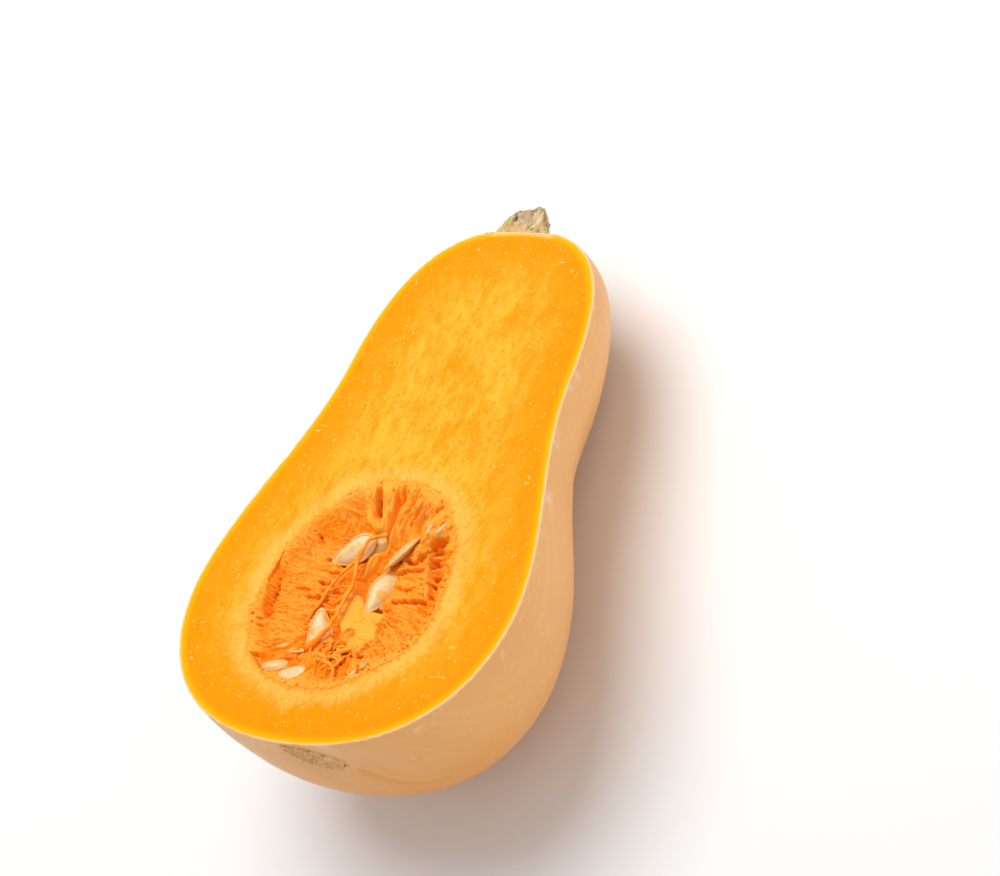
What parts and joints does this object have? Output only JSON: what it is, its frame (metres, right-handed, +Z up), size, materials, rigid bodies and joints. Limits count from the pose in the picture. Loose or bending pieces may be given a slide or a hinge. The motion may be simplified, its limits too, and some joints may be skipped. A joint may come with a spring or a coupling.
{
  "type": "butternut squash half",
  "caption": "Half of a butternut squash cut lengthwise, lying on its rounded back, with stringy pulp and flat seeds in the bulb and a cut stem stub.",
  "frame": {"origin": "on the ground under the middle of the bounding box", "axes": "+Y along the squash towards its stem, +Z up, +X to the right of the cut face seen from above with the stem away"},
  "size_m": [0.1172, 0.1862, 0.0752],
  "materials": {
    "flesh_and_rind": "moist orange cut flesh with a satin tan rind",
    "stringy_pulp": "moist stringy orange pulp",
    "seed_coat": "smooth cream seed coat with a raised rim",
    "stem_cork": "dry rough corky stem"
  },
  "bodies": {
    "root": {"squash_half": "flesh_and_rind", "pulp": "stringy_pulp", "stem": "stem_cork", "seed_01": "seed_coat", "seed_02": "seed_coat", "seed_03": "seed_coat", "seed_04": "seed_coat", "seed_05": "seed_coat", "seed_06": "seed_coat", "seed_07": "seed_coat", "seed_08": "seed_coat", "seed_09": "seed_coat", "seed_10": "seed_coat", "seed_11": "seed_coat", "seed_12": "seed_coat"}
  },
  "joints": []
}
